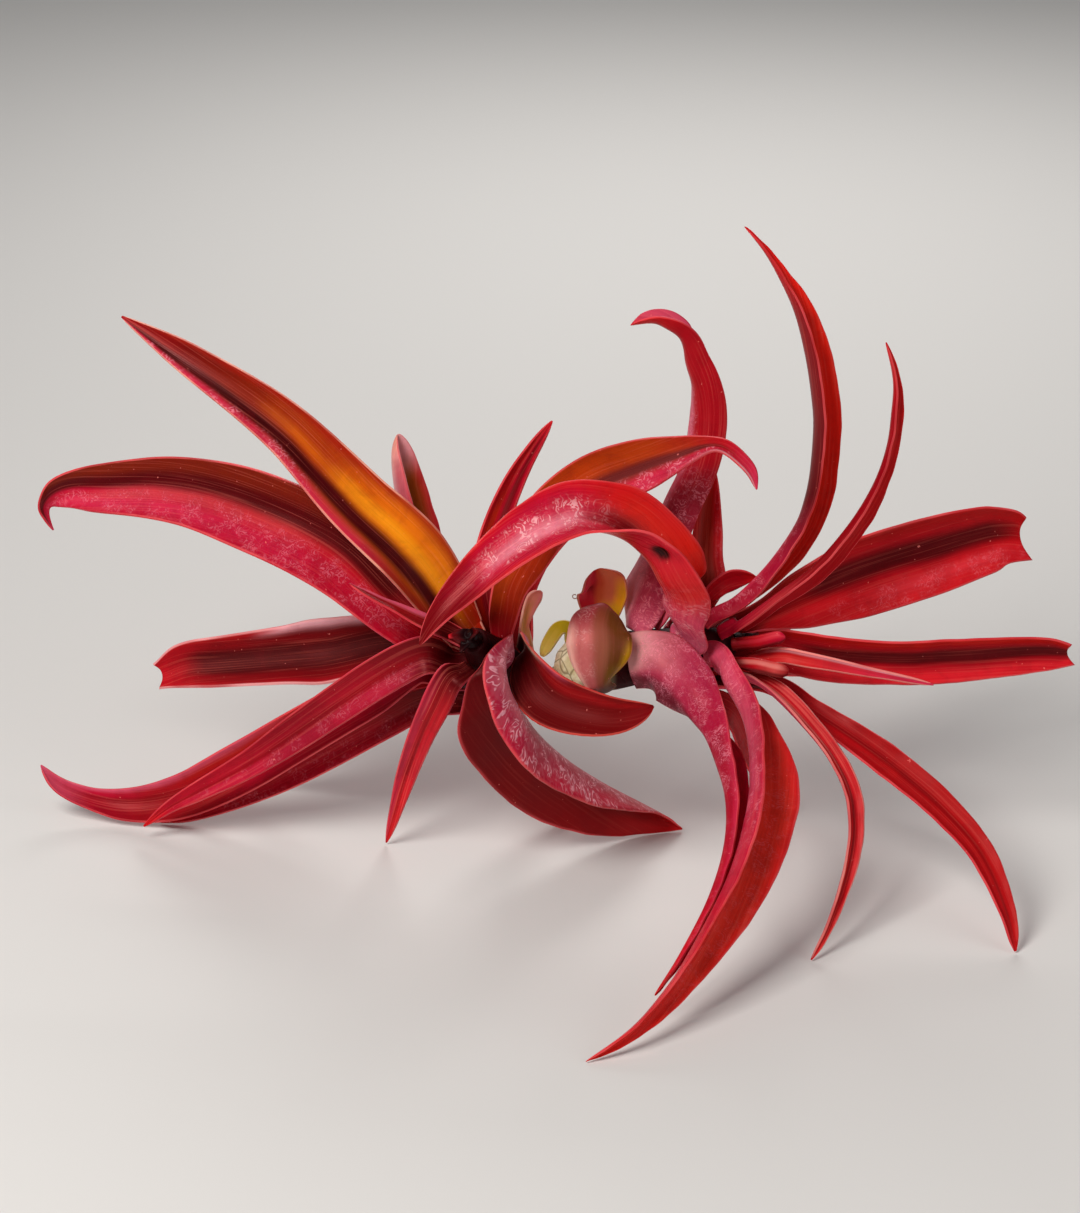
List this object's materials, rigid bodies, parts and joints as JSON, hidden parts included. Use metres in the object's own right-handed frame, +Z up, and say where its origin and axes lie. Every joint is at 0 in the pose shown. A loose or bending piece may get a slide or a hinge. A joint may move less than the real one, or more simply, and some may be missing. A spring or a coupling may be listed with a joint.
{
  "type": "tillandsia plant",
  "caption": "Air plant clump: two rosettes of long channelled, recurved leaves, back to back on a short forked stem, lying on its leaf tips with no pot.",
  "frame": {"origin": "Under the middle of the bounding box, on the surface that the clump lies on.", "axes": "+X runs from the left rosette to the right one, the longest way. +Z is up. -Y is the side the picture shows."},
  "size_m": [0.3176, 0.2022, 0.1894],
  "materials": {
    "scarlet_leaf": "living leaf, satin",
    "crimson_leaf": "living leaf, satin with pale trichomes",
    "amber_leaf": "living leaf, satin, orange at the base",
    "bract": "dry scale, satin",
    "stem": "matte, pale and finely cracked"
  },
  "bodies": {
    "root": {"left_amber_leaf": "amber_leaf", "left_hooked_leaf": "crimson_leaf", "left_level_leaf": "scarlet_leaf", "left_upturned_leaf": "crimson_leaf", "left_lower_leaf": "crimson_leaf", "left_lowest_leaf": "crimson_leaf", "left_narrow_leaf": "crimson_leaf", "left_sweeping_leaf": "scarlet_leaf", "left_cradle_leaf": "scarlet_leaf", "left_arching_leaf": "scarlet_leaf", "left_spear_leaf": "scarlet_leaf", "left_blunt_leaf": "amber_leaf", "left_inner_leaf": "crimson_leaf", "left_pale_bract": "bract", "left_rear_leaf": "scarlet_leaf", "left_far_leaf": "crimson_leaf", "left_under_leaf": "crimson_leaf", "left_tall_rear_leaf": "scarlet_leaf", "left_heart": "crimson_leaf", "right_overarching_leaf": "crimson_leaf", "right_crook_leaf": "crimson_leaf", "right_base_scale": "crimson_leaf", "right_back_leaf": "scarlet_leaf", "right_tall_claw": "scarlet_leaf", "right_short_claw": "scarlet_leaf", "right_upper_blade": "scarlet_leaf", "right_level_blade": "scarlet_leaf", "right_thin_leaf": "crimson_leaf", "right_curl": "crimson_leaf", "right_stub": "crimson_leaf", "right_low_scale": "scarlet_leaf", "right_sheath_leaf": "crimson_leaf", "right_front_leaf": "crimson_leaf", "right_ribbon_leaf": "crimson_leaf", "right_outer_leaf": "scarlet_leaf", "right_rear_leaf": "scarlet_leaf", "right_far_leaf": "crimson_leaf", "right_under_leaf": "scarlet_leaf", "right_heart": "scarlet_leaf", "base_hood_bract": "bract", "base_folded_bract": "amber_leaf", "base_green_bract": "bract", "forked_stem": "stem"}
  },
  "joints": []
}
